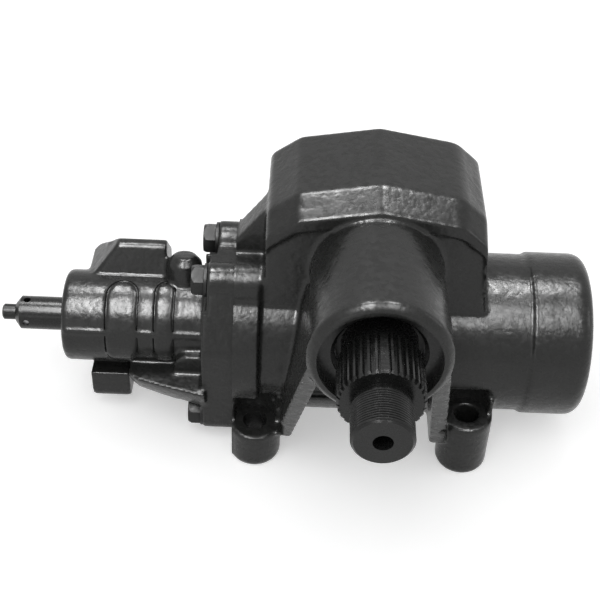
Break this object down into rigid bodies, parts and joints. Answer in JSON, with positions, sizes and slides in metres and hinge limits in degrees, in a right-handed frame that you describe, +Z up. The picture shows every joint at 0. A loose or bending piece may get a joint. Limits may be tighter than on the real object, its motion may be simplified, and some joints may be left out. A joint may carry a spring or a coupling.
{
  "type": "steering gearbox",
  "caption": "Power steering gearbox: input shaft turns a worm, the rack piston slides in its barrel and the splined sector shaft swings the steering arm.",
  "frame": {"origin": "centre of the four foot holes, on the plane of the feet", "axes": "+X along the worm towards the closed end of the barrel, -Y along the sector shaft's output, +Z up from the feet"},
  "size_m": [0.3305, 0.2252, 0.1637],
  "materials": {
    "painted_casting": "sprayed dark grey, semi-gloss over cast iron",
    "painted_fastener": "sprayed dark grey, semi-gloss",
    "painted_shaft": "sprayed dark grey, satin over machined steel",
    "painted_seal_case": "sprayed dark grey, satin",
    "seal_rubber": "matt black",
    "ring_steel": "oiled steel",
    "bearing_steel": "ground bright steel",
    "gear_steel": "case-hardened, ground",
    "machined_iron": "machined, oiled",
    "ring_polymer": "filled polymer, matt"
  },
  "bodies": {
    "housing": {"gear_housing": "painted_casting", "side_cover": "painted_casting", "side_cover_bolts": "painted_fastener", "side_cover_seal": "seal_rubber", "adjuster_screw": "painted_fastener", "adjuster_locknut": "painted_fastener", "valve_housing": "painted_casting", "valve_housing_bolts": "painted_fastener", "valve_joint_seal": "seal_rubber", "worm_thrust_bearing": "bearing_steel", "worm_lock_ring": "ring_steel", "input_bearing": "bearing_steel", "input_seal": "seal_rubber", "input_retaining_ring": "ring_steel", "sector_front_bearing": "bearing_steel", "sector_rear_bearing": "bearing_steel", "sector_oil_seal": "seal_rubber", "sector_retaining_ring": "ring_steel", "sector_dust_seal": "painted_seal_case"},
    "sector": {"sector_shaft": "painted_shaft", "adjuster_retainer": "ring_steel"},
    "piston": {"rack_piston": "machined_iron", "piston_ring": "ring_polymer", "piston_end_plug": "gear_steel", "recirculating_balls": "bearing_steel"},
    "worm": {"worm_shaft": "gear_steel", "valve_sleeve": "gear_steel", "sleeve_seal_rings": "ring_polymer"},
    "input": {"input_shaft": "painted_shaft", "torsion_bar": "painted_shaft", "torsion_bar_pin": "ring_steel"}
  },
  "joints": [
    {"name": "sector_swing", "type": "hinge", "parent": "housing", "child": "sector", "pos_m": [0.0035, 0, 0.1186], "axis": [0, 1, 0], "range_deg": [-45, 45]},
    {"name": "piston_slide", "type": "slide", "parent": "housing", "child": "piston", "axis": [1, 0, 0], "range_m": [-0.026, 0.026]},
    {"name": "worm_turn", "type": "hinge", "parent": "housing", "child": "worm", "pos_m": [0, 0, 0.055], "axis": [1, 0, 0], "range_deg": [-740, 740]},
    {"name": "valve_twist", "type": "hinge", "parent": "worm", "child": "input", "pos_m": [0, 0, 0.055], "axis": [1, 0, 0], "range_deg": [-6, 6], "stiffness_Nm_per_rad": 80}
  ],
  "couplings": [
    {"joint": "piston_slide", "follows": "sector_swing", "m_per_rad": -0.033},
    {"joint": "worm_turn", "follows": "sector_swing", "ratio": 16.326}
  ]
}
